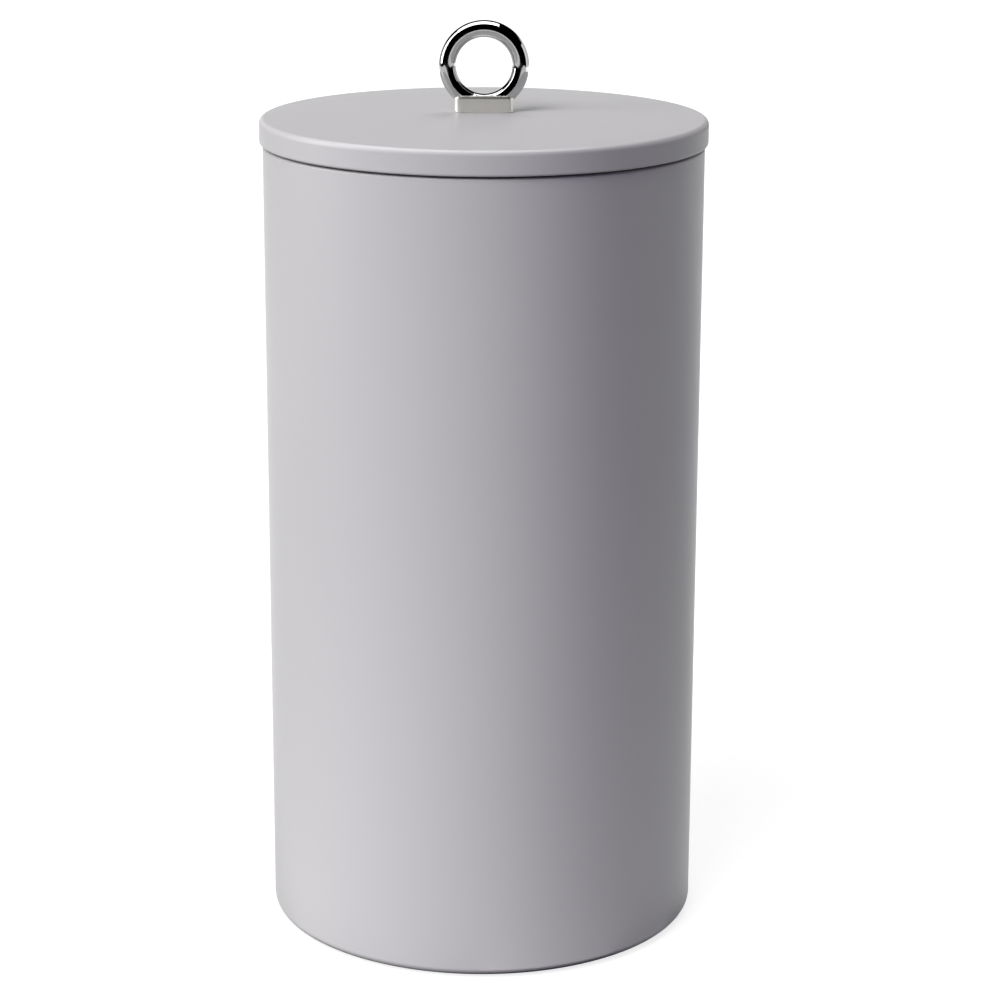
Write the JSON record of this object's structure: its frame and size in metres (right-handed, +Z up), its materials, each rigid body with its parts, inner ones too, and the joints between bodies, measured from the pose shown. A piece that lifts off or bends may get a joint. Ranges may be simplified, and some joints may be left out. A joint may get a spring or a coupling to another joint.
{
  "type": "lidded waste bin",
  "caption": "Tall round cast-resin waste bin with a loose crowned lid, a plated ring handle and a lift-out liner bucket.",
  "frame": {"origin": "centre of the base, on the floor plane that the rubber pads stand on", "axes": "+Z up along the bin's axis; the ring handle's face looks along Y, with the front on the -Y side"},
  "size_m": [0.2, 0.2, 0.4148],
  "materials": {
    "cast_resin_body": "satin",
    "cast_resin_lid": "satin",
    "seal_silicone": "matte",
    "plated_zinc": "polished",
    "zinc_plated_steel": "satin",
    "liner_plastic": "satin",
    "pad_rubber": "matte"
  },
  "bodies": {
    "bin": {"body_shell": "cast_resin_body", "foot_pad_front_left": "pad_rubber", "foot_pad_front_right": "pad_rubber", "foot_pad_back_left": "pad_rubber", "foot_pad_back_right": "pad_rubber"},
    "liner": {"liner_bucket": "liner_plastic"},
    "lid": {"lid": "cast_resin_lid", "lid_seal_ring": "seal_silicone", "ring_handle": "plated_zinc", "handle_washer": "zinc_plated_steel", "handle_screw": "zinc_plated_steel"}
  },
  "joints": [
    {"name": "liner_lift", "type": "slide", "parent": "bin", "child": "liner", "axis": [0, 0, 1], "range_m": [0, 0.36]},
    {"name": "lid_lift", "type": "slide", "parent": "liner", "child": "lid", "axis": [0, 0, 1], "range_m": [0, 0.15]}
  ]
}
